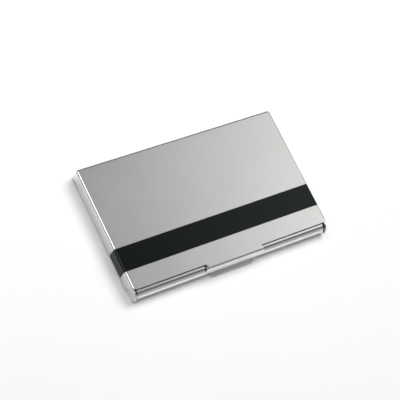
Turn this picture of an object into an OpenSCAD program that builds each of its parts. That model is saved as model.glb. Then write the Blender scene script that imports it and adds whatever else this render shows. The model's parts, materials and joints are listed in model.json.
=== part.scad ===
// Business card case in satin steel: a shallow lid, hinged along one long side to a
// shallow tray, with a dark band let into the lid. All sizes are in millimetres.
// +X runs along the hinge, +Y points from the hinge to the free edge, +Z is up.
// The origin is the middle of the underside of the whole case's box.

/* [Case] */
// Length of the closed case along the hinge
case_length = 95; // [92:0.5:105]
// Distance from the hinge axis back to the rear face of the lid
axis_to_rear = 55.4; // [54:0.1:62]
// Height of the closed case
case_height = 7.2; // [7.1:0.1:8]
// Thickness of the steel sheet of the lid and the tray
sheet = 0.5; // [0.4:0.05:0.5]

/* [Lid] */
// Outer radius of the folded edges
bend_radius = 0.9; // [0.7:0.1:1.2]
// Height of the lid's lower edge above the surface that the case lies on
skirt_clearance = 1.1; // [0.6:0.1:1.4]
// Width of the thumb notch in the rear wall
notch_width = 18; // [12:1:26]

/* [Band] */
// Width of the dark band across the lid
band_width = 10.2; // [6:0.1:16]
// Distance from the hinge axis to the band's near edge
band_offset = 8.4; // [6:0.1:20]
// Thickness of the band
band_thickness = 0.15; // [0.12:0.01:0.18]
// Thickness of the adhesive film under the band
film_thickness = 0.08; // [0.05:0.01:0.1]

/* [Hinge] */
// Outer radius of the tray's two rolled barrels
barrel_radius = 2.7; // [2.6:0.05:2.7]
// Width of the lid's knuckle between the barrels
knuckle_width = 24.4; // [20:0.1:30]
// Gap at the left end of the knuckle
left_play = 1; // [0.3:0.1:1.2]
// Gap at the right end of the knuckle
right_play = 0.3; // [0.2:0.1:1.2]

/* [Card lifter] */
// Length of the lifter plate along the hinge
lifter_length = 62; // [40:1:80]
// Distance from the hinge axis to the lifter's free edge
lifter_reach = 24; // [18:1:34]

/* [Hidden] */
$fn = 64;

eps = 0.01;
steps = 8;                       // flats in a quarter turn of a small bend
lap = 8;                         // degrees by which a flat sheet runs on into a rolled one
lap_inset = 0.1;                 // how far inside the rolled sheet it runs

// Heights
axis_z = 3.2;
lid_inside_z = case_height - sheet;

// Places along Y. The lip of the hold spring is the foremost point.
lip_reach = 4.1;                 // from the axis to the front edge of the lip
axis_y = -(axis_to_rear + lip_reach) / 2 + lip_reach;
rear_y = axis_y + axis_to_rear;
lid_front_y = axis_y + 0.2;
lid_wall_top_y = axis_y + 2;     // the side walls' front ends slope back from here
lid_wall_low_y = axis_y + 3.4;
lid_front_corner = 2.1;          // the lid's corners, seen from above
lid_rear_corner = 1.2;

// The coined seat of the band
seat_depth = band_thickness + film_thickness;
seat_clearance = 0.05;
seat_y = axis_y + band_offset;

// The tray, which nests inside the lid
tray_side_gap = 0.1;
tray_rear_gap = 0.3;
tray_half = case_length / 2 - sheet - tray_side_gap;
tray_rear_y = rear_y - sheet - tray_rear_gap;
tray_bend = 0.8;                 // outer radius of the tray's lower edges
tray_corner = 1.2;
ear_radius = axis_z - 0.1;       // rounded front ends of the tray's side walls
tray_wall_top = 2 * ear_radius;
ear_gap = 0.9;                   // between each side wall and its barrel
barrel_end_x = tray_half - sheet - ear_gap;

// The barrels, rolled up from the floor over a small step
fit = 0.05;                      // radial running clearance on the pin
pin_radius = barrel_radius - sheet - fit;
barrel_seam = -40;               // angle at which the rolled sheet ends
step_foot_y = 3.4;               // from the axis to the foot of the step
step_head_y = 1.2;
floor_front_y = axis_y + step_foot_y;

// The knuckle: a tab of the lid's top, folded down over a shoulder and round the pin
knuckle_left_x = -knuckle_width / 2 + (left_play - right_play) / 2;
knuckle_right_x = knuckle_left_x + knuckle_width;
left_barrel_x = knuckle_left_x - left_play;
right_barrel_x = knuckle_right_x + right_play;
hook_inner = pin_radius + fit;
hook_outer = hook_inner + sheet;
hook_top = case_height - axis_z;
hook_settles = 172;              // angle at which the sheet meets the circle round the pin
hook_ends = 278;
shoulder_radius = 1.4;           // bend at the top, which ends tangent to the same circle
shoulder_z = hook_top - shoulder_radius;
shoulder_y = (hook_outer - shoulder_radius - shoulder_z * sin(hook_settles)) / cos(hook_settles);

// The pin, with a thinner journal in the middle for the lifter's eye
journal_radius = 1.6;
journal_length = 16;
knuckle_middle_x = (knuckle_left_x + knuckle_right_x) / 2;
pin_end_gap = 0.7;

// The hold spring, which lies on the floor and drops through the window in it
spring_sheet = 0.4;
spring_width = 21;
spring_tail_y = axis_y + 15;
spring_drop_y = axis_y + 3.4;
spring_corner = 1;
window_rear_y = axis_y + 4.4;
window_clearance = 0.6;

// Rivets, set flush in the underside of the floor
rivet_spacing = 11;
rivet_y = axis_y + 10;
rivet_radius = 0.75;
rivet_head_radius = 1.5;
rivet_head = 0.25;
rivet_slack = 0.01;

// The card lifter: an eye on the journal, a neck that goes over and down, and a plate
lifter_sheet = 0.4;
eye_inner = journal_radius + fit;
eye_outer = eye_inner + lifter_sheet;
eye_from = 60;                   // angle at which the neck leaves the eye
eye_to = 330;
neck_width = 14;
neck_y = 2.85;                   // from the axis to the neck's front face
lifter_z = sheet + spring_sheet + rivet_head + 0.05;
lifter_corner = 3;
neck_bend = 0.6;                 // size of the neck's bend into the plate
lifter_notch_width = 26;         // finger notch in the plate's free edge
lifter_notch = 5;

// Points of an arc about [cx, cy], from angle a to angle b
function arc(cx, cy, r, a, b, n = steps) =
    [for (i = [0:n]) [cx + r * cos(a + (b - a) * i / n), cy + r * sin(a + (b - a) * i / n)]];

// A point at a radius and an angle
function polar(r, a) = [r * cos(a), r * sin(a)];

// The short stretch by which a flat sheet runs on into a rolled one, from angle a to angle b
function run_on(inner, outer, a, b) = [
    polar(outer, a), polar(outer - lap_inset, a), polar(outer - lap_inset, b),
    polar(inner + lap_inset, b), polar(inner + lap_inset, a), polar(inner, a)
];

function reversed(list) = [for (i = [len(list) - 1:-1:0]) list[i]];

// Draws a [y, z] outline about the hinge axis and extrudes it from x0 to x1
module along_hinge(x0, x1) {
    translate([x0, axis_y, axis_z])
        rotate([90, 0, 90])
            linear_extrude(height = x1 - x0) children();
}

// A true arc of rolled sheet about the hinge axis, from angle a to angle b
module rolled_sheet(x0, x1, inner, outer, a, b) {
    translate([x0, axis_y, axis_z])
        rotate([90, 0, 90])
            rotate([0, 0, a])
                rotate_extrude(angle = b - a)
                    translate([inner, 0]) square([outer - inner, x1 - x0]);
}

// Everything between two values of Y
module slab(y0, y1) {
    translate([-case_length, y0, -1])
        cube([2 * case_length, y1 - y0, case_height + 2]);
}

// A flat plate with all four corners rounded
module plate(x0, x1, y0, y1, z, thickness, corner) {
    translate([0, 0, z])
        linear_extrude(height = thickness)
            polygon(concat(
                arc(x1 - corner, y1 - corner, corner, 0, 90),
                arc(x0 + corner, y1 - corner, corner, 90, 180),
                arc(x0 + corner, y0 + corner, corner, 180, 270),
                arc(x1 - corner, y0 + corner, corner, 270, 360)
            ));
}

// The space inside the lid's outer faces, taken in by a distance, with its folded edges round
module lid_block(inset, front, low) {
    half = case_length / 2 - inset;
    top = case_height - inset;
    rear = rear_y - inset;
    radius = bend_radius - inset;
    corner = lid_rear_corner - inset;
    nose = lid_front_corner;
    intersection() {
        translate([0, rear + 1, 0])
            rotate([90, 0, 0])
                linear_extrude(height = rear - front + 2)
                    polygon(concat(
                        [[half, low]],
                        arc(half - radius, top - radius, radius, 0, 90),
                        arc(-half + radius, top - radius, radius, 90, 180),
                        [[-half, low]]
                    ));
        translate([-half - 1, 0, 0])
            rotate([90, 0, 90])
                linear_extrude(height = 2 * half + 2)
                    polygon(concat(
                        [[front - 1, low - 1], [rear, low - 1]],
                        arc(rear - radius, top - radius, radius, 0, 90),
                        [[front - 1, top]]
                    ));
        translate([0, 0, low - 1])
            linear_extrude(height = top - low + 2)
                polygon(concat(
                    arc(-half + nose, front + nose, nose, 180, 270),
                    arc(half - nose, front + nose, nose, 270, 360),
                    arc(half - corner, rear - corner, corner, 0, 90),
                    arc(-half + corner, rear - corner, corner, 90, 180)
                ));
    }
}

// One layer of the lid, between two insets and two values of Y
module lid_layer(outer, inner, y0, y1) {
    intersection() {
        difference() {
            lid_block(outer, lid_front_y, skirt_clearance);
            lid_block(inner, lid_front_y - 3, skirt_clearance - 1);
        }
        slab(y0, y1);
    }
}

// What is cut away in front of the lid's side walls, whose ends slope
module lid_front_cut() {
    for (side = [-1, 1])
        translate([side * case_length / 2 - 2 * sheet, 0, 0])
            rotate([90, 0, 90])
                linear_extrude(height = 4 * sheet)
                    polygon([
                        [lid_front_y - 2, -1], [lid_wall_low_y, -1],
                        [lid_wall_low_y, skirt_clearance],
                        [lid_wall_top_y, lid_inside_z], [lid_front_y - 2, lid_inside_z]
                    ]);
}

// The seat that the band is let into
module band_seat() {
    intersection() {
        difference() {
            lid_block(-1, lid_front_y, skirt_clearance - 1);
            lid_block(seat_depth, lid_front_y - 3, skirt_clearance - 2);
        }
        slab(seat_y, seat_y + band_width);
    }
}

// The knuckle's tab leaves the lid's front edge, folds over the shoulder and rolls under
module hook() {
    along_hinge(knuckle_left_x, knuckle_right_x)
        polygon(concat(
            [[lid_front_y - axis_y + 1, hook_top]],
            arc(shoulder_y, shoulder_z, shoulder_radius, 90, hook_settles),
            arc(0, 0, hook_outer, hook_settles + 2, 178, 2),
            run_on(hook_inner, hook_outer, 180, 180 + lap),
            arc(0, 0, hook_inner, 178, hook_settles + 2, 2),
            arc(shoulder_y, shoulder_z, shoulder_radius - sheet, hook_settles, 90),
            [[lid_front_y - axis_y + 1, hook_top - sheet]]
        ));
    rolled_sheet(knuckle_left_x, knuckle_right_x, hook_inner, hook_outer, 180, hook_ends);
}

module thumb_notch() {
    depth = 2.2;
    radius = (pow(notch_width / 2, 2) + pow(depth, 2)) / (2 * depth);
    translate([0, rear_y + 1, skirt_clearance + depth - radius])
        rotate([90, 0, 0])
            cylinder(r = radius, h = sheet + 1.5);
}

module lid_shell() {
    color("gainsboro") {
        difference() {
            lid_layer(0, sheet, lid_front_y - 1, rear_y + 1);
            band_seat();
            lid_front_cut();
            thumb_notch();
        }
        hook();
    }
}

module accent_band() {
    color("black")
        lid_layer(0, band_thickness, seat_y + seat_clearance, seat_y + band_width - seat_clearance);
}

module band_adhesive() {
    color("white")
        lid_layer(band_thickness, seat_depth, seat_y + 2 * seat_clearance,
                  seat_y + band_width - 2 * seat_clearance);
}

// The space inside the tray's outer faces, taken in by a distance, with round lower edges
module tray_block(inset) {
    half = tray_half - inset;
    rear = tray_rear_y - inset;
    radius = tray_bend - inset;
    corner = tray_corner - inset;
    front = floor_front_y;
    top = tray_wall_top + (inset > 0 ? 1 : 0);
    intersection() {
        translate([0, rear, 0])
            rotate([90, 0, 0])
                linear_extrude(height = rear - front)
                    polygon(concat(
                        [[-half, top]],
                        arc(-half + radius, inset + radius, radius, 180, 270),
                        arc(half - radius, inset + radius, radius, 270, 360),
                        [[half, top]]
                    ));
        translate([-half, 0, 0])
            rotate([90, 0, 90])
                linear_extrude(height = 2 * half)
                    polygon(concat(
                        [[front, top], [front, inset]],
                        arc(rear - radius, inset + radius, radius, 270, 360),
                        [[rear, top]]
                    ));
        linear_extrude(height = top)
            polygon(concat(
                [[-half, front], [half, front]],
                arc(half - corner, rear - corner, corner, 0, 90),
                arc(-half + corner, rear - corner, corner, 90, 180)
            ));
    }
}

// The round front end of one of the tray's side walls
module ear(x) {
    translate([x, 0, 0]) {
        translate([0, axis_y, ear_radius])
            rotate([0, 90, 0])
                cylinder(r = ear_radius, h = sheet);
        translate([0, axis_y, 0])
            cube([sheet, step_foot_y + eps, tray_wall_top]);
    }
}

// One barrel, with the stepped strip of floor that it is rolled from
module barrel(x0, x1) {
    r = barrel_radius;
    rolled_sheet(x0, x1, r - sheet, r, barrel_seam, 270);
    along_hinge(x0, x1)
        polygon(concat(
            [
                [step_foot_y + 1, -axis_z + sheet], [step_foot_y - 1, -axis_z + sheet],
                [step_head_y, -r + sheet]
            ],
            reversed(run_on(r - sheet, r, 270, 270 - lap)),
            [[step_head_y, -r], [step_foot_y - 1, -axis_z], [step_foot_y + 1, -axis_z]]
        ));
}

module rivet_holes() {
    for (side = [-1, 1])
        translate([knuckle_middle_x + side * rivet_spacing / 2, rivet_y, -1])
            cylinder(r = rivet_radius + rivet_slack, h = axis_z);
}

module base_tray() {
    half_window = spring_width / 2 + window_clearance;
    color("lightgray") {
        difference() {
            tray_block(0);
            tray_block(sheet);
            translate([knuckle_middle_x - half_window, floor_front_y - 1, -1])
                cube([2 * half_window, window_rear_y - floor_front_y + 1, sheet + 2]);
            rivet_holes();
        }
        ear(-tray_half);
        ear(tray_half - sheet);
        barrel(-barrel_end_x, left_barrel_x);
        barrel(right_barrel_x, barrel_end_x);
    }
}

module hinge_pin() {
    end_x = tray_half - sheet - pin_end_gap;
    color("silver")
        translate([0, axis_y, axis_z])
            rotate([0, 90, 0])
                difference() {
                    translate([0, 0, -end_x])
                        cylinder(r = pin_radius, h = 2 * end_x);
                    translate([0, 0, knuckle_middle_x - journal_length / 2])
                        difference() {
                            cylinder(r = pin_radius + 1, h = journal_length);
                            translate([0, 0, -1])
                                cylinder(r = journal_radius, h = journal_length + 2);
                        }
                }
}

module hold_spring() {
    left = knuckle_middle_x - spring_width / 2;
    right = left + spring_width;
    lip_y = axis_y - lip_reach;
    slope_y = window_rear_y - 0.2;
    color("darkgray")
        difference() {
            intersection() {
                translate([left, 0, 0])
                    rotate([90, 0, 90])
                        linear_extrude(height = spring_width)
                            polygon([
                                [lip_y, 0], [spring_drop_y - 1, 0], [slope_y, sheet],
                                [spring_tail_y, sheet], [spring_tail_y, sheet + spring_sheet],
                                [slope_y - 0.2, sheet + spring_sheet],
                                [spring_drop_y - 1.2, spring_sheet], [lip_y, spring_sheet]
                            ]);
                plate(left, right, lip_y, spring_tail_y, -1, 4, spring_corner);
            }
            rivet_holes();
        }
}

module spring_rivets() {
    color("dimgray")
        for (side = [-1, 1])
            translate([knuckle_middle_x + side * rivet_spacing / 2, rivet_y, 0]) {
                cylinder(r = rivet_radius, h = sheet + spring_sheet + eps);
                translate([0, 0, sheet + spring_sheet])
                    cylinder(r = rivet_head_radius, h = rivet_head);
            }
}

// The neck's outline: tangent to the eye, over the hook's end, and down to the plate
module neck_outline() {
    leave = [sin(eye_from), -cos(eye_from)];
    under = polar(eye_inner, eye_from);
    over = polar(eye_outer, eye_from);
    to_under = (neck_y - under[0]) / leave[0];
    to_over = (neck_y + lifter_sheet - over[0]) / leave[0];
    low = lifter_z - axis_z;
    polygon(concat(
        arc(0, 0, eye_outer, eye_from, 85, 5),
        run_on(eye_inner, eye_outer, 90, 90 + lap),
        arc(0, 0, eye_inner, 85, eye_from, 5),
        [
            under + to_under * leave, [neck_y, low + neck_bend],
            [neck_y + neck_bend, low], [neck_y + 2, low], [neck_y + 2, low + lifter_sheet],
            [neck_y + neck_bend, low + lifter_sheet], [neck_y + lifter_sheet, low + neck_bend],
            over + to_over * leave
        ]
    ));
}

module card_lifter() {
    left = knuckle_middle_x - neck_width / 2;
    right = left + neck_width;
    notch_radius = (pow(lifter_notch_width / 2, 2) + pow(lifter_notch, 2)) / (2 * lifter_notch);
    color("whitesmoke") {
        rolled_sheet(left, right, eye_inner, eye_outer, 90, eye_to);
        along_hinge(left, right) neck_outline();
        difference() {
            plate(-lifter_length / 2, lifter_length / 2, axis_y + neck_y + 1.2,
                  axis_y + lifter_reach, lifter_z, lifter_sheet, lifter_corner);
            translate([0, axis_y + lifter_reach - lifter_notch + notch_radius, lifter_z - 1])
                cylinder(r = notch_radius, h = lifter_sheet + 2);
        }
    }
}

lid_shell();
accent_band();
band_adhesive();
base_tray();
hinge_pin();
hold_spring();
spring_rivets();
card_lifter();
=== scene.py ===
import json
import math

import bmesh
import bpy
from mathutils import Matrix, Vector


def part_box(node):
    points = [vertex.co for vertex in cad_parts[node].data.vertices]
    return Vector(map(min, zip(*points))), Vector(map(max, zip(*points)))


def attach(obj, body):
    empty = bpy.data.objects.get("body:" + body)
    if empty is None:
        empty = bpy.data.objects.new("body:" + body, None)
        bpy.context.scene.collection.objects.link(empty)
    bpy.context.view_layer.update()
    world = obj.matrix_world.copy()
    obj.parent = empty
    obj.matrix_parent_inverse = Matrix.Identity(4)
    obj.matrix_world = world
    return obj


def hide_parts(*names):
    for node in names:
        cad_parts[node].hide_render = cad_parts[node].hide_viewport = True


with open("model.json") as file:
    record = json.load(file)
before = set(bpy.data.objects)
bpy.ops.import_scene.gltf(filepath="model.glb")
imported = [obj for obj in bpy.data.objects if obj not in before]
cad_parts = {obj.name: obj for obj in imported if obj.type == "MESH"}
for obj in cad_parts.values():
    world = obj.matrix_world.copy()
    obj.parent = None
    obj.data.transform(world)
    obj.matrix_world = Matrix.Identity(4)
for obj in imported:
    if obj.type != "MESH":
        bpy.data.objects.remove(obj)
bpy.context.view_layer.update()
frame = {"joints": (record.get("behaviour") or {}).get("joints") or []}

# ---------------------------------------------------------------- sizes, in millimetres

MM = 0.001


def corners(node):
    """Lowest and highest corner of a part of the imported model, in millimetres."""
    low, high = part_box(node)
    return low / MM, high / MM


lid_high = corners("lid_shell")[1]
band_low, band_high = corners("accent_band")
film_low, film_high = corners("band_adhesive")
tray_high = corners("base_tray")[1]
pin_low, pin_high = corners("hinge_pin")
leaf_low, leaf_high = corners("hold_spring")
rivets_low, rivets_high = corners("spring_rivets")
lifter_low, lifter_high = corners("card_lifter")

SHEET = 0.5
LEAF_SHEET = 0.4                    # the hold spring and the lifter
hinge = Vector(next(j for j in frame["joints"] if j["name"] == "lid_hinge")["pos_m"]) / MM

# The lid
LID_BEND = 0.9
LID_CORNER = 1.2                    # the rear corners, seen from above
LID_NOSE = 2.1                      # the front corners
WALL_START = (1.8, 3.2)             # how far behind the front edge the walls start, top and bottom
NOTCH_WIDTH, NOTCH_DEPTH = 18.0, 2.2
lid_half, lid_rear, lid_top = lid_high
lid_skirt = band_low.z

# The band and its seat
BAND_PLAY = 0.05
FILM = 0.08
band_thickness = lid_top - film_high.z
seat_depth = band_thickness + FILM
seat_start, seat_end = band_low.y - BAND_PLAY, band_high.y + BAND_PLAY

# The knuckle, a tab of the lid's top
HOOK_RADIUS = 2.7
HOOK_SETTLES = 172.0
HOOK_ENDS = 278.0
SHOULDER_RADIUS = 1.4
ROOT_FILLET = 1.8
knuckle_left, knuckle_right = -11.85, 12.55
knuckle_middle = (knuckle_left + knuckle_right) / 2
lid_front = hinge.y + 0.2

# The tray
TRAY_BEND = 0.8
TRAY_CORNER = 1.2
BARREL_RADIUS = 2.7
BARREL_SEAM = -40.0
STEP_HEAD, STEP_FOOT = 1.2, 2.4     # where the floor steps up to the barrels, behind the axis
tray_half, tray_rear, tray_top = tray_high
ear_radius = tray_top / 2
floor_front = hinge.y + 3.4
window_rear = hinge.y + 4.4
barrel_inner_ends = (-12.85, 12.85)
barrel_end = tray_half - SHEET - 0.9
leaf_middle = (leaf_low.x + leaf_high.x) / 2
window_half = (leaf_high.x - leaf_low.x) / 2 + 0.6

# ---------------------------------------------------------------- helpers for shapes


def spread(stops, step):
    """Values from the first stop to the last, through every stop, no more than a step apart."""
    values = [stops[0]]
    for a, b in zip(stops, stops[1:]):
        count = max(1, math.ceil((b - a) / step - 1e-6))
        values += [a + (b - a) * i / count for i in range(1, count + 1)]
    return values


def smooth(u):
    u = min(max(u, 0.0), 1.0)
    return u * u * (3 - 2 * u)


def arc(cy, cz, radius, start, end, step=7.5):
    """Points [y, z] of an arc between two angles in degrees."""
    count = max(1, round(abs(end - start) / step))
    angles = [math.radians(start + (end - start) * i / count) for i in range(count + 1)]
    return [(cy + radius * math.cos(a), cz + radius * math.sin(a)) for a in angles]


def rounding(distance, radius):
    """How far an edge draws back at a distance from the end of a side with a round corner."""
    left = min(max(radius - distance, 0), radius)
    return radius - math.sqrt(radius ** 2 - left ** 2)


def ribbon(path, thickness):
    """Pairs of points on the two faces of a sheet that follows a path of [y, z] points."""
    pairs = []
    for i, point in enumerate(path):
        before = Vector(path[max(i - 1, 0)])
        after = Vector(path[min(i + 1, len(path) - 1)])
        here = Vector(point)
        into = (here - before).normalized() if i else (after - here).normalized()
        out = (after - here).normalized() if i < len(path) - 1 else into
        along = (into + out).normalized()
        side = Vector((-along.y, along.x))
        reach = thickness / 2 / max(along.dot(into), 0.5)
        pairs.append((here - side * reach, here + side * reach))
    return pairs


class FormedSheet:
    """A pressed sheet, made of patches of paired points on its two faces, in millimetres."""

    def __init__(self):
        self.known = {}
        self.pairs = []
        self.faces = []

    def corner(self, outer, inner):
        key = tuple(round(c, 4) for c in (*outer, *inner))
        if key not in self.known:
            self.known[key] = len(self.pairs)
            self.pairs.append((Vector(outer), Vector(inner)))
        return self.known[key]

    def patch(self, grid, leave_out=lambda row, column: False):
        rows = [[self.corner(*pair) for pair in row] for row in grid]
        for r in range(len(rows) - 1):
            for c in range(len(rows[0]) - 1):
                loop = [rows[r][c], rows[r][c + 1], rows[r + 1][c + 1], rows[r + 1][c]]
                loop = [v for i, v in enumerate(loop) if v not in loop[:i]]
                if len(loop) > 2 and not leave_out(r, c):
                    self.faces.append(loop)

    def solid(self):
        """Both faces, and the edges of the sheet between them, as one closed mesh."""
        bm = bmesh.new()
        outer = [bm.verts.new(o * MM) for o, _ in self.pairs]
        inner = [bm.verts.new(i * MM) for _, i in self.pairs]
        uses = {}
        for loop in self.faces:
            bm.faces.new([outer[v] for v in loop])
            bm.faces.new([inner[v] for v in reversed(loop)])
            for a, b in zip(loop, loop[1:] + loop[:1]):
                uses.setdefault(frozenset((a, b)), []).append((a, b))
        for edges in uses.values():
            if len(edges) == 1:
                a, b = edges[0]
                bm.faces.new([outer[b], outer[a], inner[a], inner[b]])
        bmesh.ops.remove_doubles(bm, verts=bm.verts, dist=1e-7)
        bmesh.ops.dissolve_degenerate(bm, edges=bm.edges, dist=1e-7)
        bmesh.ops.recalc_face_normals(bm, faces=bm.faces)
        return bm


def show(name, mesh):
    obj = bpy.data.objects.new(name, mesh)
    bpy.context.scene.collection.objects.link(obj)
    return obj


def settle_modifiers(obj):
    """Turns what the modifiers show into the object's own plain mesh."""
    graph = bpy.context.evaluated_depsgraph_get()
    mesh = bpy.data.meshes.new_from_object(
        obj.evaluated_get(graph), preserve_all_data_layers=True, depsgraph=graph)
    obj.modifiers.clear()
    obj.data = mesh


def finish_piece(name, bm, material, body, node, edge=0.08, sharp=40):
    """Breaks the sharp edges of a mesh, gives it its finish and puts it on its body."""
    mesh = bpy.data.meshes.new(name)
    bm.to_mesh(mesh)
    bm.free()
    mesh.shade_smooth()
    obj = show(name, mesh)
    bevel = obj.modifiers.new("broken edges", "BEVEL")
    bevel.width = edge * MM
    bevel.segments = 2
    bevel.limit_method = "ANGLE"
    bevel.angle_limit = math.radians(sharp)
    bevel.use_clamp_overlap = False
    weighted = obj.modifiers.new("flat faces", "WEIGHTED_NORMAL")
    weighted.keep_sharp = True
    settle_modifiers(obj)
    obj.data.materials.clear()
    obj.data.materials.append(material)
    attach(obj, body)
    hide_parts(node)


def turned(profile, steps=48):
    """A turned piece: a closed outline of [along, radius] points spun about the X axis."""
    bm = bmesh.new()
    rings = []
    for along, radius in profile:
        if radius < 1e-6:
            rings.append([bm.verts.new(Vector((along, 0, 0)) * MM)])
            continue
        angles = [2 * math.pi * i / steps for i in range(steps)]
        rings.append([
            bm.verts.new(Vector((along, radius * math.cos(a), radius * math.sin(a))) * MM)
            for a in angles
        ])
    for a, b in zip(rings, rings[1:]):
        for i in range(steps):
            j = (i + 1) % steps
            loop = [a[i % len(a)], a[j % len(a)], b[j % len(b)], b[i % len(b)]]
            loop = [v for k, v in enumerate(loop) if v not in loop[:k]]
            bm.faces.new(loop)
    bmesh.ops.recalc_face_normals(bm, faces=bm.faces)
    return bm


# ---------------------------------------------------------------- finishes


def socket_name(name):
    """The label of a socket from the name of an argument."""
    return name.upper() if name == "ior" else name.replace("_", " ").title()


class Finish:
    """A material built round one shader, with short calls for its nodes."""

    def __init__(self, name, **values):
        self.material = bpy.data.materials.new(name)
        self.material.use_nodes = True
        self.nodes = self.material.node_tree.nodes
        self.links = self.material.node_tree.links
        self.shader = self.nodes["Principled BSDF"]
        for socket, value in values.items():
            self.shader.inputs[socket_name(socket)].default_value = value
        self.place = self.nodes.new("ShaderNodeTexCoord").outputs["Object"]

    def add(self, kind, **sockets):
        node = self.nodes.new(kind)
        for name, value in sockets.items():
            socket = node.inputs[socket_name(name)]
            if isinstance(value, bpy.types.NodeSocket):
                self.links.new(value, socket)
            else:
                socket.default_value = value
        return node

    def noise(self, stretch, scale, detail=3.0, roughness=0.5):
        """Noise over the piece, stretched along its axes. The scale is in cells per metre."""
        spot = self.add("ShaderNodeMapping", vector=self.place, scale=stretch)
        return self.add("ShaderNodeTexNoise", vector=spot.outputs["Vector"], scale=scale,
                        detail=detail, roughness=roughness).outputs["Fac"]

    def between(self, value, low, high, from_low=0.3, from_high=0.7):
        node = self.add("ShaderNodeMapRange", value=value)
        node.inputs["From Min"].default_value = from_low
        node.inputs["From Max"].default_value = from_high
        node.inputs["To Min"].default_value = low
        node.inputs["To Max"].default_value = high
        return node.outputs["Result"]

    def tint(self, value, dark, light):
        node = self.add("ShaderNodeValToRGB", fac=value)
        node.color_ramp.elements[0].color = (*dark, 1)
        node.color_ramp.elements[1].color = (*light, 1)
        node.color_ramp.elements[0].position = 0.3
        node.color_ramp.elements[1].position = 0.7
        return node.outputs["Color"]

    def drive(self, socket, source):
        self.links.new(source, self.shader.inputs[socket])

    def bump(self, height, depth):
        node = self.add("ShaderNodeBump", height=height, strength=1.0, distance=depth)
        self.drive("Normal", node.outputs["Normal"])


GRAIN_STRETCH = (1, 60, 60)
GRAIN_DEPTH = 5e-8                  # metres


def satin_steel(name, light, rough):
    """Stainless steel rubbed along the hinge's length: fine lines, and faint clouds of wear."""
    dark = tuple(c * 0.93 for c in light)
    finish = Finish(name, metallic=1.0)
    lines = finish.noise(GRAIN_STRETCH, 220, detail=4, roughness=0.6)
    clouds = finish.noise((1, 1, 1), 45, detail=3)
    finish.drive("Base Color", finish.tint(clouds, dark, light))
    mixed = finish.add("ShaderNodeMath")
    finish.links.new(lines, mixed.inputs[0])
    finish.links.new(clouds, mixed.inputs[1])
    mixed.operation = "ADD"
    finish.drive("Roughness", finish.between(mixed.outputs[0], rough * 0.85, rough * 1.15, 0.7, 1.3))
    finish.bump(lines, GRAIN_DEPTH)
    return finish.material


class Glow:
    """A lit cloth, whose strength may vary over the panel."""

    def __init__(self, name):
        self.material = bpy.data.materials.new(name)
        self.material.use_nodes = True
        self.nodes = self.material.node_tree.nodes
        self.links = self.material.node_tree.links
        self.nodes.clear()
        spot = self.nodes.new("ShaderNodeTexCoord").outputs["Object"]
        self.split = self.nodes.new("ShaderNodeSeparateXYZ")
        self.links.new(spot, self.split.inputs["Vector"])

    def falloff(self, axis, half, edge):
        """1 over the middle of the panel, and smoothly to 0 at its rim."""
        size = self.nodes.new("ShaderNodeMath")
        size.operation = "ABSOLUTE"
        self.links.new(self.split.outputs[axis], size.inputs[0])
        ease = self.nodes.new("ShaderNodeMapRange")
        ease.interpolation_type = "SMOOTHSTEP"
        self.links.new(size.outputs[0], ease.inputs["Value"])
        ease.inputs["From Min"].default_value = half * (1 - edge)
        ease.inputs["From Max"].default_value = half
        ease.inputs["To Min"].default_value = 1
        ease.inputs["To Max"].default_value = 0
        return ease.outputs["Result"]

    def slope(self, axis, half, start, end):
        """A value that changes evenly from one end of the panel to the other."""
        ramp = self.nodes.new("ShaderNodeMapRange")
        self.links.new(self.split.outputs[axis], ramp.inputs["Value"])
        ramp.inputs["From Min"].default_value = -half
        ramp.inputs["From Max"].default_value = half
        ramp.inputs["To Min"].default_value = start
        ramp.inputs["To Max"].default_value = end
        return ramp.outputs["Result"]

    def times(self, a, b):
        product = self.nodes.new("ShaderNodeMath")
        product.operation = "MULTIPLY"
        self.links.new(a, product.inputs[0])
        if isinstance(b, bpy.types.NodeSocket):
            self.links.new(b, product.inputs[1])
        else:
            product.inputs[1].default_value = b
        return product.outputs[0]

    def shine(self, share, strength):
        glow = self.nodes.new("ShaderNodeEmission")
        output = self.nodes.new("ShaderNodeOutputMaterial")
        self.links.new(self.times(share, strength), glow.inputs["Strength"])
        self.links.new(glow.outputs["Emission"], output.inputs["Surface"])


def black_enamel():
    """Hard black enamel on thin metal strip, with the faintest orange peel."""
    finish = Finish("black enamel", ior=1.36, specular_tint=(0.84, 0.96, 1.0, 1.0))
    clouds = finish.noise((1, 1, 1), 60, detail=2)
    peel = finish.noise((1, 1, 1), 1400, detail=2)
    finish.drive("Base Color", finish.tint(clouds, (0.0006, 0.0007, 0.0008), (0.0010, 0.0012, 0.0014)))
    finish.drive("Roughness", finish.between(clouds, 0.12, 0.17))
    finish.bump(peel, 2e-7)
    return finish.material


def clear_film():
    """The pale adhesive film under the band."""
    finish = Finish("adhesive film", roughness=0.6)
    clouds = finish.noise((1, 1, 1), 300, detail=3)
    finish.drive("Base Color", finish.tint(clouds, (0.62, 0.60, 0.54), (0.74, 0.73, 0.68)))
    finish.bump(clouds, 2e-6)
    return finish.material


lid_steel = satin_steel("lid satin steel", (0.80, 0.80, 0.785), 0.24)
tray_steel = satin_steel("tray satin steel", (0.78, 0.78, 0.77), 0.22)
lifter_steel = satin_steel("lifter satin steel", (0.74, 0.74, 0.73), 0.30)
leaf_steel = satin_steel("spring strip steel", (0.60, 0.60, 0.60), 0.34)
pin_steel = satin_steel("drawn rod steel", (0.66, 0.66, 0.65), 0.26)
rivet_steel = satin_steel("rivet steel", (0.70, 0.69, 0.67), 0.32)
band_enamel = black_enamel()
film_finish = clear_film()

# ---------------------------------------------------------------- the lid


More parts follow.
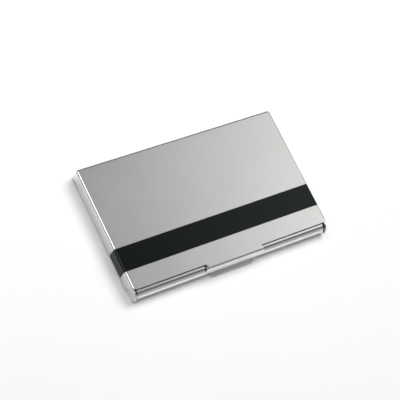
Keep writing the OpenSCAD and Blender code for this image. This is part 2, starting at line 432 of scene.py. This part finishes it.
def lid_levels(depth):
    """Inset and height of each level of the lid's side, at a depth below its outer face."""
    foot = lid_top - LID_BEND
    levels = [(depth, lid_skirt + (foot - lid_skirt) * i / 4) for i in range(4)]
    bend = arc(LID_BEND, foot, LID_BEND - depth, 180, 90)
    return levels + bend + [(LID_CORNER, lid_top - depth), (LID_NOSE, lid_top - depth)]


def lid_rows():
    """Each row's Y and how deep the outer face lies there, with the band's seat let in."""
    front = spread([lid_front, lid_front + 2, seat_start], 0.7)
    seat = spread([seat_start, seat_end], 2.1)
    rear = spread([seat_end, lid_rear - LID_NOSE - 0.6, lid_rear - LID_CORNER], 2.1)
    rows = [(y, 0.0) for y in front] + [(y, seat_depth) for y in seat]
    return rows + [(y, 0.0) for y in rear]


def lid_start(level):
    """How far behind the front edge the lid's side starts: sloped walls, and a round nose."""
    inset, z = lid_levels(0)[level]
    foot = lid_top - LID_BEND
    top, bottom = WALL_START
    slope = top + (bottom - top) * (lid_top - SHEET - z) / (lid_top - SHEET - lid_skirt)
    share = smooth((z - foot) / LID_BEND)
    return slope * (1 - share) + rounding(inset, LID_NOSE) * share


def lid_side(sheet, side, rows):
    """One side of the lid: wall, bend and the edge of the top."""
    reach = seat_start - 0.5
    grid = []
    for level in range(len(lid_levels(0))):
        start = lid_front + lid_start(level)
        line = []
        for number, (y, depth) in enumerate(rows):
            pair = []
            for face in (depth, SHEET):
                inset, z = lid_levels(face)[level]
                place = y if y > reach else start + (y - lid_front) * (reach - start) / (reach - lid_front)
                if number == len(rows) - 1:
                    place = lid_rear - max(inset, LID_CORNER)
                pair.append((side * (lid_half - inset), place, z))
            line.append(pair)
        grid.append(line)
    sheet.patch(grid)


def lid_corner(sheet, side):
    """One of the lid's drawn rear corners."""
    grid = []
    for level in range(len(lid_levels(0))):
        line = []
        for turn in range(0, 91, 10):
            pair = []
            for face in (0, SHEET):
                inset, z = lid_levels(face)[level]
                back = max(inset, LID_CORNER)
                radius = max(LID_CORNER - inset, 0)
                a = math.radians(turn)
                x = side * (lid_half - back + radius * math.cos(a))
                pair.append((x, lid_rear - back + radius * math.sin(a), z))
            line.append(pair)
        grid.append(line)
    sheet.patch(grid)


def notch_height(x):
    radius = ((NOTCH_WIDTH / 2) ** 2 + NOTCH_DEPTH ** 2) / (2 * NOTCH_DEPTH)
    if abs(x) >= NOTCH_WIDTH / 2:
        return 0.0
    return math.sqrt(radius ** 2 - x ** 2) - (radius - NOTCH_DEPTH)


def lid_back(sheet, columns):
    """The lid's rear wall, with the thumb notch in its lower edge."""
    foot = lid_top - LID_BEND
    grid = []
    for level in range(len(lid_levels(0))):
        line = []
        for x in columns:
            pair = []
            for face in (0, SHEET):
                inset, z = lid_levels(face)[level]
                if z < foot:
                    low = lid_skirt + notch_height(x)
                    z = low + (z - lid_skirt) * (foot - low) / (foot - lid_skirt)
                end = lid_half - max(inset, LID_CORNER)
                place = math.copysign(end, x) if abs(x) > lid_half - LID_NOSE - 0.01 else x
                pair.append((place, lid_rear - inset, z))
            line.append(pair)
        grid.append(line)
    sheet.patch(grid)


def lid_panel(sheet, columns, rows):
    grid = []
    for number, (y, depth) in enumerate(rows):
        if number == len(rows) - 1:
            y = lid_rear - LID_NOSE
        grid.append([((x, y, lid_top - depth), (x, y, lid_top - SHEET)) for x in columns])
    sheet.patch(grid)


def knuckle_profile(depth):
    """[y, z] along the knuckle: over the shoulder, down its front, and round under the pin."""
    settle = math.radians(HOOK_SETTLES)
    top = lid_top - hinge.z
    z = top - SHOULDER_RADIUS
    y = (HOOK_RADIUS - SHOULDER_RADIUS - z * math.sin(settle)) / math.cos(settle)
    start = lid_front - hinge.y
    run = [(start + (y - start) * i / 3, top - depth) for i in range(3)]
    shoulder = arc(y, z, SHOULDER_RADIUS - depth, 90, HOOK_SETTLES)
    roll = arc(0, 0, HOOK_RADIUS - depth, HOOK_SETTLES, HOOK_ENDS)
    front = []
    for i in (1, 2):
        a, b = Vector(shoulder[-1]), Vector(roll[0])
        front.append(tuple(a.lerp(b, i / 3)))
    return [(hinge.y + y, hinge.z + z) for y, z in run + shoulder + front + roll]


def lid_knuckle(sheet, columns):
    """The tab that leaves the front edge and closes round the pin.

    Past a slight waist at its root it is ROOT_FILLET wider on each side than knuckle_left
    and knuckle_right, so its ends run into the barrels.
    """
    outer, inner = knuckle_profile(0), knuckle_profile(SHEET)
    left, right = columns[0], columns[-1]
    run = 0.0
    grid = []
    for i, (o, n) in enumerate(zip(outer, inner)):
        if i:
            run += (Vector(o) - Vector(outer[i - 1])).length
        draw = ROOT_FILLET - rounding(run, ROOT_FILLET)
        a, b = knuckle_left - draw, knuckle_right + draw
        if i == 0:
            a, b = left, right
        spots = [a + (x - left) * (b - a) / (right - left) for x in columns]
        grid.append([((x, *o), (x, *n)) for x in spots])
    sheet.patch(grid)


def make_lid():
    sheet = FormedSheet()
    rows = lid_rows()
    roots = (knuckle_left - ROOT_FILLET, knuckle_right + ROOT_FILLET)
    end = lid_half - LID_NOSE
    columns = spread([-end, roots[0], -9, 9, roots[1], end], 1.25)
    for side in (-1, 1):
        lid_side(sheet, side, rows)
        lid_corner(sheet, side)
    lid_back(sheet, columns)
    lid_panel(sheet, columns, rows)
    lid_knuckle(sheet, [x for x in columns if roots[0] - 0.01 <= x <= roots[1] + 0.01])
    finish_piece("lid_pressing", sheet.solid(), lid_steel, "lid", "lid_shell")


# ---------------------------------------------------------------- the tray


def tray_levels(depth):
    """Inset and height of each level of the tray's side, from its rim down to the floor."""
    foot = math.degrees(math.acos(1 - TRAY_BEND / ear_radius))
    walls = [(depth, ear_radius - ear_radius * math.cos(math.radians(a)))
             for a in [180 + (foot - 180) * i / 12 for i in range(12)]]
    bend = arc(TRAY_BEND, TRAY_BEND, TRAY_BEND - depth, 180, 270)
    return walls + bend + [(TRAY_CORNER, depth)]


def tray_side(sheet, side, rows):
    outer, inner = tray_levels(0), tray_levels(SHEET)
    grid = []
    for (inset, z), (inset_in, z_in) in zip(outer, inner):
        grid.append([((side * (tray_half - inset), y, z), (side * (tray_half - inset_in), y, z_in))
                     for y in rows])
    sheet.patch(grid)


def tray_corner(sheet, side):
    grid = []
    for level in range(len(tray_levels(0))):
        line = []
        for turn in range(0, 91, 10):
            pair = []
            for face in (0, SHEET):
                inset, z = tray_levels(face)[level]
                a = math.radians(turn)
                radius = TRAY_CORNER - inset
                x = side * (tray_half - TRAY_CORNER + radius * math.cos(a))
                pair.append((x, tray_rear - TRAY_CORNER + radius * math.sin(a), z))
            line.append(pair)
        grid.append(line)
    sheet.patch(grid)


def tray_back(sheet, columns):
    outer, inner = tray_levels(0), tray_levels(SHEET)
    sheet.patch([
        [((x, tray_rear - inset, z), (x, tray_rear - inset_in, z_in)) for x in columns]
        for (inset, z), (inset_in, z_in) in zip(outer, inner)
    ])


def tray_floor(sheet, columns, rows):
    """The floor, with the window that the hold spring drops through."""
    left, right = leaf_middle - window_half, leaf_middle + window_half

    def in_window(row, column):
        x, y = columns[column] + 0.01, rows[row] + 0.01
        return left < x < right and y < window_rear

    grid = [[((x, y, 0), (x, y, SHEET)) for x in columns] for y in rows]
    sheet.patch(grid, in_window)


def tray_ear(sheet, side):
    """The round front end of a side wall, which stands beside the barrel's end."""
    levels = [z for inset, z in tray_levels(0) if z >= TRAY_BEND - 1e-6]
    foot = math.degrees(math.acos(1 - TRAY_BEND / ear_radius))
    levels += [ear_radius - ear_radius * math.cos(math.radians(foot * (1 - i / 5)))
               for i in range(1, 6)]
    relief = 0.25
    grid = []
    for z in levels:
        front = hinge.y - math.sqrt(max(ear_radius ** 2 - (z - ear_radius) ** 2, 0))
        back = floor_front if z >= TRAY_BEND - 1e-6 else floor_front - relief
        line = [front + (back - front) * i / 6 for i in range(7)]
        grid.append([((side * tray_half, y, z), (side * (tray_half - SHEET), y, z)) for y in line])
    sheet.patch(grid)


def barrel_profile(depth):
    """[y, z] from the floor over the step and round the barrel to its seam."""
    flat = hinge.z - BARREL_RADIUS
    step = []
    for i in range(9):
        u = i / 8
        y = STEP_FOOT + 0.4 + (STEP_HEAD - STEP_FOOT - 0.8) * u
        step.append((y, flat * smooth(u) + depth - hinge.z))
    roll = arc(0, 0, BARREL_RADIUS - depth, 270, BARREL_SEAM)
    start = [(floor_front - hinge.y, depth - hinge.z)]
    return [(hinge.y + y, hinge.z + z) for y, z in start + step + roll]


def tray_barrel(sheet, columns):
    outer, inner = barrel_profile(0), barrel_profile(SHEET)
    sheet.patch([[((x, *o), (x, *n)) for x in columns] for o, n in zip(outer, inner)])


def make_tray():
    sheet = FormedSheet()
    end = tray_half - TRAY_CORNER
    left, right = barrel_inner_ends
    window = (leaf_middle - window_half, leaf_middle + window_half)
    columns = spread([-end, -barrel_end, left, *window, right, barrel_end, end], 3)
    rows = spread([floor_front, window_rear, tray_rear - TRAY_CORNER], 3)
    for side in (-1, 1):
        tray_side(sheet, side, rows)
        tray_corner(sheet, side)
        tray_ear(sheet, side)
    tray_back(sheet, columns)
    tray_floor(sheet, columns, rows)
    tray_barrel(sheet, [x for x in columns if -barrel_end - 0.01 <= x <= left + 0.01])
    tray_barrel(sheet, [x for x in columns if right - 0.01 <= x <= barrel_end + 0.01])
    finish_piece("tray_pressing", sheet.solid(), tray_steel, "tray", "base_tray")


# ---------------------------------------------------------------- small parts


def make_pin():
    """The hinge pin: a rod with chamfered ends and a thinner journal for the lifter's eye."""
    chamfer, journal, half_journal = 0.3, 1.6, 8.0
    middle = knuckle_middle
    radius = (pin_high.z - pin_low.z) / 2
    profile = [
        (pin_low.x, 0), (pin_low.x, radius - chamfer), (pin_low.x + chamfer, radius),
        (middle - half_journal, radius), (middle - half_journal, journal),
        (middle + half_journal, journal), (middle + half_journal, radius),
        (pin_high.x - chamfer, radius), (pin_high.x, radius - chamfer), (pin_high.x, 0)
    ]
    bm = turned(profile)
    bmesh.ops.translate(bm, verts=bm.verts, vec=Vector((0, hinge.y, hinge.z)) * MM)
    finish_piece("hinge_rod", bm, pin_steel, "tray", "hinge_pin",
                 edge=0.05, sharp=25)


def make_leaf():
    """The hold spring: flat under the cards, down through the window, and out as a lip."""
    thick, corner = LEAF_SHEET, 1.0
    drop = hinge.y + 3.3
    path = [(leaf_low.y + i, thick / 2) for i in (0, 0.15, 0.4, 0.7, 1.0)]
    path += [(hinge.y + y, thick / 2) for y in (-1, 0, 1)]
    for i in range(11):
        u = i / 10
        path.append((drop - 1.2 + 2.4 * u, thick / 2 + SHEET * smooth(u)))
    tail = leaf_high.y
    path += [(y, SHEET + thick / 2) for y in spread([drop + 2.4, tail - 1], 2)]
    path += [(tail - i, SHEET + thick / 2) for i in (0.7, 0.4, 0.15, 0)]
    sheet = FormedSheet()
    grid = []
    for (y, z), (under, over) in zip(path, ribbon(path, thick)):
        half = (leaf_high.x - leaf_low.x) / 2
        half -= rounding(min(y - path[0][0], path[-1][0] - y), corner)
        spots = [leaf_middle + half * (i / 4 - 1) for i in range(9)]
        grid.append([((x, *under), (x, *over)) for x in spots])
    sheet.patch(grid)
    finish_piece("hold_leaf", sheet.solid(), leaf_steel, "tray", "hold_spring",
                 edge=0.06)


def make_lifter():
    """The card lifter: an eye on the journal, a swan neck, and the plate under the cards."""
    thick, eye, leaves, ends = LEAF_SHEET, 1.85, 60, 330
    neck_y, bend, neck_half, corner = 3.05, 0.5, 7.0, 3.0
    notch_width, notch_depth = 26.0, 5.0
    middle = knuckle_middle
    low = lifter_low.z - hinge.z + thick / 2
    plate_front = 4.05

    path = arc(0, 0, eye, ends, leaves)
    y, z = path[-1]
    slope = (math.sin(math.radians(leaves)), -math.cos(math.radians(leaves)))
    reach = (neck_y - y) / slope[0]
    knee = (neck_y, z + slope[1] * reach)
    path += [(y + slope[0] * reach * s, z + slope[1] * reach * s) for s in (0.35, 0.7)]
    path += [(knee[0] - 0.12, knee[1] + 0.05), (knee[0] - 0.02, knee[1] - 0.08),
             (neck_y, knee[1] - 0.3)]
    path += arc(neck_y + bend, low + bend, bend, 180, 270, 15)
    path += [(plate_front - 0.2, low), (plate_front, low)]
    path = [(hinge.y + y, hinge.z + z) for y, z in path]

    sheet = FormedSheet()
    half = lifter_high.x
    round_end = [half - corner * (1 - math.sin(math.radians(a))) for a in (0, 20, 40, 55, 70, 80)]
    columns = [-half] + [-x for x in reversed(round_end)]
    columns += spread([-half + corner, middle - neck_half, middle + neck_half, half - corner], 2)[1:-1]
    columns += round_end + [half]
    columns = sorted(set(round(x, 4) for x in columns))
    neck = [x for x in columns if middle - neck_half - 0.01 <= x <= middle + neck_half + 0.01]
    sheet.patch([[((x, *under), (x, *over)) for x in neck] for under, over in ribbon(path, thick)])

    front, rear = hinge.y + plate_front, lifter_high.y
    radius = ((notch_width / 2) ** 2 + notch_depth ** 2) / (2 * notch_depth)
    grid = []
    for i in range(13):
        line = []
        for x in columns:
            inset = rounding(half - abs(x), corner)
            cut = 0.0
            if abs(x) < notch_width / 2:
                cut = math.sqrt(radius ** 2 - x ** 2) - (radius - notch_depth)
            y0, y1 = front + inset, rear - inset - cut
            y = y0 + (y1 - y0) * i / 12
            line.append(((x, y, lifter_low.z), (x, y, lifter_low.z + thick)))
        grid.append(line)
    sheet.patch(grid)
    finish_piece("lifter_pressing", sheet.solid(), lifter_steel, "lifter", "card_lifter",
                 edge=0.06)


# ---------------------------------------------------------------- pieces that follow a path


class Tree:
    """A geometry node tree with short calls for its nodes and links."""

    def __init__(self, name):
        self.tree = bpy.data.node_groups.new(name, "GeometryNodeTree")
        self.tree.interface.new_socket("Geometry", in_out="INPUT", socket_type="NodeSocketGeometry")
        self.tree.interface.new_socket("Geometry", in_out="OUTPUT", socket_type="NodeSocketGeometry")
        self.start = self.tree.nodes.new("NodeGroupInput")
        self.end = self.tree.nodes.new("NodeGroupOutput")

    def size(self, name):
        """A named input for a length, as the socket to link from."""
        item = self.tree.interface.new_socket(name, in_out="INPUT", socket_type="NodeSocketFloat")
        item.subtype = "DISTANCE"
        return self.start.outputs[name]

    def add(self, kind, **settings):
        node = self.tree.nodes.new(kind)
        for name, value in settings.items():
            setattr(node, name, value)
        return node

    def link(self, source, target):
        self.tree.links.new(source, target)

    def close(self, geometry, material):
        """The tree's end: real geometry, with its material set."""
        real = self.add("GeometryNodeRealizeInstances")
        finish = self.add("GeometryNodeSetMaterial")
        finish.inputs["Material"].default_value = material
        self.link(geometry, real.inputs["Geometry"])
        self.link(real.outputs["Geometry"], finish.inputs["Geometry"])
        self.link(finish.outputs["Geometry"], self.end.inputs["Geometry"])

    def put_on(self, obj, **sizes):
        """Runs the tree on an object as a modifier, with the named inputs set."""
        modifier = obj.modifiers.new(self.tree.name, "NODES")
        modifier.node_group = self.tree
        for item in self.tree.interface.items_tree:
            if item.in_out == "INPUT" and item.name in sizes:
                modifier[item.identifier] = sizes[item.name]


def wrap_tree(name, material):
    """A strip of rectangular section that follows a folded line."""
    tree = Tree(name)
    bend, width, thickness = tree.size("Bend"), tree.size("Width"), tree.size("Thickness")
    edge = tree.size("Edge")
    folds = tree.add("GeometryNodeFilletCurve", mode="POLY")
    folds.inputs["Count"].default_value = 12
    tree.link(tree.start.outputs["Geometry"], folds.inputs["Curve"])
    tree.link(bend, folds.inputs["Radius"])
    section = tree.add("GeometryNodeCurvePrimitiveQuadrilateral")
    tree.link(thickness, section.inputs["Width"])
    tree.link(width, section.inputs["Height"])
    eased = tree.add("GeometryNodeFilletCurve", mode="POLY")
    eased.inputs["Count"].default_value = 3
    tree.link(section.outputs["Curve"], eased.inputs["Curve"])
    tree.link(edge, eased.inputs["Radius"])
    sweep = tree.add("GeometryNodeCurveToMesh")
    sweep.inputs["Fill Caps"].default_value = True
    tree.link(folds.outputs["Curve"], sweep.inputs["Curve"])
    tree.link(eased.outputs["Curve"], sweep.inputs["Profile Curve"])
    tree.close(sweep.outputs["Mesh"], material)
    return tree


def folded_strip(name, material, depth, thickness, y_low, y_high, node):
    """A strip that crosses the lid and goes down both of its sides, below its outer face."""
    inset = depth + thickness / 2
    half, top, middle = lid_half - inset, lid_top - inset, (y_low + y_high) / 2
    line = bpy.data.curves.new(name + "_line", "CURVE")
    line.dimensions = "3D"
    spline = line.splines.new("POLY")
    spots = [(-half, lid_skirt), (-half, top), (half, top), (half, lid_skirt)]
    spline.points.add(len(spots) - 1)
    for point, (x, z) in zip(spline.points, spots):
        point.co = (x * MM, middle * MM, z * MM, 1)
    path = show(name + "_path", line)
    tree = wrap_tree(name + " wrap", material)
    tree.put_on(path, Bend=(LID_BEND - inset) * MM, Width=(y_high - y_low) * MM,
                Thickness=thickness * MM, Edge=min(0.05, thickness * 0.3) * MM)
    shown = path.evaluated_get(bpy.context.evaluated_depsgraph_get())
    mesh = bpy.data.meshes.new_from_object(shown)
    bpy.data.objects.remove(path)
    bm = bmesh.new()
    bm.from_mesh(mesh)
    bmesh.ops.recalc_face_normals(bm, faces=bm.faces)
    bm.to_mesh(mesh)
    bm.free()
    mesh.shade_smooth()
    obj = show(name, mesh)
    obj.modifiers.new("flat faces", "WEIGHTED_NORMAL")
    settle_modifiers(obj)
    obj.data.materials.clear()
    obj.data.materials.append(material)
    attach(obj, "lid")
    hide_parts(node)


def make_rivets():
    """Both rivets: one turned shape, set at each place along the spring."""
    radius, shank = (rivets_high.y - rivets_low.y) / 2, 0.75
    seat, top = SHEET + LEAF_SHEET, rivets_high.z
    profile = [(0.0, 0), (0.0, shank - 0.08), (0.08, shank), (seat, shank), (seat, radius - 0.05),
               (seat + 0.05, radius)]
    for i in range(1, 7):
        a = math.radians(15 * i)
        profile.append((seat + 0.05 + (top - seat - 0.05) * math.sin(a), radius * math.cos(a)))
    bm = turned(profile, 32)
    bmesh.ops.rotate(bm, verts=bm.verts, matrix=Matrix.Rotation(-math.pi / 2, 3, "Y"))
    mesh = bpy.data.meshes.new("rivet")
    bm.to_mesh(mesh)
    bm.free()
    rivet = show("rivet_pattern", mesh)

    middle_y = (rivets_low.y + rivets_high.y) / 2
    places = [(rivets_low.x + radius, middle_y, 0), (rivets_high.x - radius, middle_y, 0)]
    spots = bpy.data.meshes.new("rivet_spots")
    spots.from_pydata([Vector(p) * MM for p in places], [], [])
    obj = show("rivet_pair", spots)
    tree = Tree("rivets in place")
    pattern = tree.add("GeometryNodeObjectInfo")
    pattern.inputs["Object"].default_value = rivet
    each = tree.add("GeometryNodeInstanceOnPoints")
    tree.link(tree.start.outputs["Geometry"], each.inputs["Points"])
    tree.link(pattern.outputs["Geometry"], each.inputs["Instance"])
    tree.close(each.outputs["Instances"], rivet_steel)
    tree.put_on(obj)
    settle_modifiers(obj)
    bpy.data.objects.remove(rivet)
    obj.data.shade_smooth()
    obj.data.set_sharp_from_angle(angle=math.radians(35))
    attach(obj, "tray")
    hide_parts("spring_rivets")


make_lid()
make_tray()
make_pin()
make_leaf()
make_lifter()
folded_strip("band_strip", band_enamel, 0.0, band_thickness, band_low.y, band_high.y,
             "accent_band")
folded_strip("band_film", film_finish, band_thickness, FILM, film_low.y, film_high.y,
             "band_adhesive")
make_rivets()

# ---------------------------------------------------------------- camera, table and light


def set_camera(aim, heading, pitch, roll, distance, lens):
    """Looks at a point from a distance, with the camera turned about its own line of sight."""
    h, p, r = (math.radians(a) for a in (heading, pitch, roll))
    ahead = Vector((math.sin(h) * math.cos(p), math.cos(h) * math.cos(p), -math.sin(p)))
    level = ahead.cross(Vector((0, 0, 1))).normalized()
    above = level.cross(ahead)
    right = level * math.cos(r) + above * math.sin(r)
    up = above * math.cos(r) - level * math.sin(r)
    camera = bpy.data.objects.new("camera", bpy.data.cameras.new("camera"))
    camera.data.lens = lens
    camera.data.sensor_width = 36
    camera.data.clip_start = 0.01
    axes = Matrix((right, up, -ahead)).transposed()
    camera.matrix_world = Matrix.Translation(Vector(aim) - ahead * distance) @ axes.to_4x4()
    bpy.context.scene.collection.objects.link(camera)
    bpy.context.scene.camera = camera


def lit_panel(name, low, high, strength, edge=0.15, **rises):
    """A lit cloth between two corners of a flat box, in metres, soft at its rim.

    Along an axis in rises, its strength goes from less to more of itself by that share.
    """
    low, high = Vector(low), Vector(high)
    size = high - low
    middle = (low + high) / 2
    flat = min(range(3), key=lambda i: size[i])
    u, v = [i for i in range(3) if i != flat]
    spots = []
    for a, b in ((-1, -1), (1, -1), (1, 1), (-1, 1)):
        spot = Vector((0, 0, 0))
        spot[u], spot[v] = a * size[u] / 2, b * size[v] / 2
        spots.append(spot)
    mesh = bpy.data.meshes.new(name)
    mesh.from_pydata(spots, [], [(0, 1, 2, 3)])
    panel = show(name, mesh)
    panel.location = middle
    panel.visible_camera = False
    panel.visible_shadow = False

    glow = Glow(name + " cloth")
    share = glow.falloff("XYZ"[u], size[u] / 2, edge)
    share = glow.times(share, glow.falloff("XYZ"[v], size[v] / 2, edge))
    for axis, rise in rises.items():
        half = size["XYZ".index(axis)] / 2
        share = glow.times(share, glow.slope(axis, half, 1 - rise, 1 + rise))
    glow.shine(share, strength)
    mesh.materials.append(glow.material)


def key_light(toward, distance, size, watts):
    """The light that gives the shadows. Only matt surfaces see it, as through a polariser."""
    place = Vector(toward).normalized() * distance
    data = bpy.data.lights.new("key", "AREA")
    data.shape = "DISK"
    data.size = size
    data.energy = watts
    light = bpy.data.objects.new("key", data)
    light.matrix_world = Matrix.Translation(place) @ place.to_track_quat("Z", "Y").to_matrix().to_4x4()
    light.visible_glossy = False
    bpy.context.scene.collection.objects.link(light)


def make_table():
    mesh = bpy.data.meshes.new("table")
    size = 3.0
    mesh.from_pydata([(-size, -size, 0), (size, -size, 0), (size, size, 0), (-size, size, 0)],
                     [], [(0, 1, 2, 3)])
    table = show("table", mesh)
    finish = Finish("white table", roughness=0.9)
    finish.shader.inputs["Specular IOR Level"].default_value = 0.0
    clouds = finish.noise((1, 1, 1), 6)
    finish.drive("Base Color", finish.tint(clouds, (0.88, 0.88, 0.88), (0.90, 0.90, 0.90)))
    mesh.materials.append(finish.material)


def make_room():
    world = bpy.data.worlds.new("studio")
    world.use_nodes = True
    world.node_tree.nodes["Background"].inputs["Color"].default_value = (1, 1, 1, 1)
    world.node_tree.nodes["Background"].inputs["Strength"].default_value = 0.14
    bpy.context.scene.world = world
    bpy.context.scene.view_settings.view_transform = "Standard"
    lit_panel("left box", (-0.42, -0.15, 0.6), (-0.02, 0.50, 0.6), 3.4)
    lit_panel("right box", (0.12, -0.22, 0.6), (0.70, 0.34, 0.6), 1.0, 0.05, X=0.85, Y=-0.2)
    lit_panel("front card", (0.0, -0.5, 0.02), (0.8, -0.5, 0.38), 0.5, 0.1)
    key_light((0.42, 0.30, 0.85), 0.9, 0.62, 5.5)


make_table()
make_room()
set_camera(aim=(-0.00053, 0.00224, 0.00347), heading=61.093, pitch=58.080, roll=38.411,
           distance=0.6403, lens=139.14)
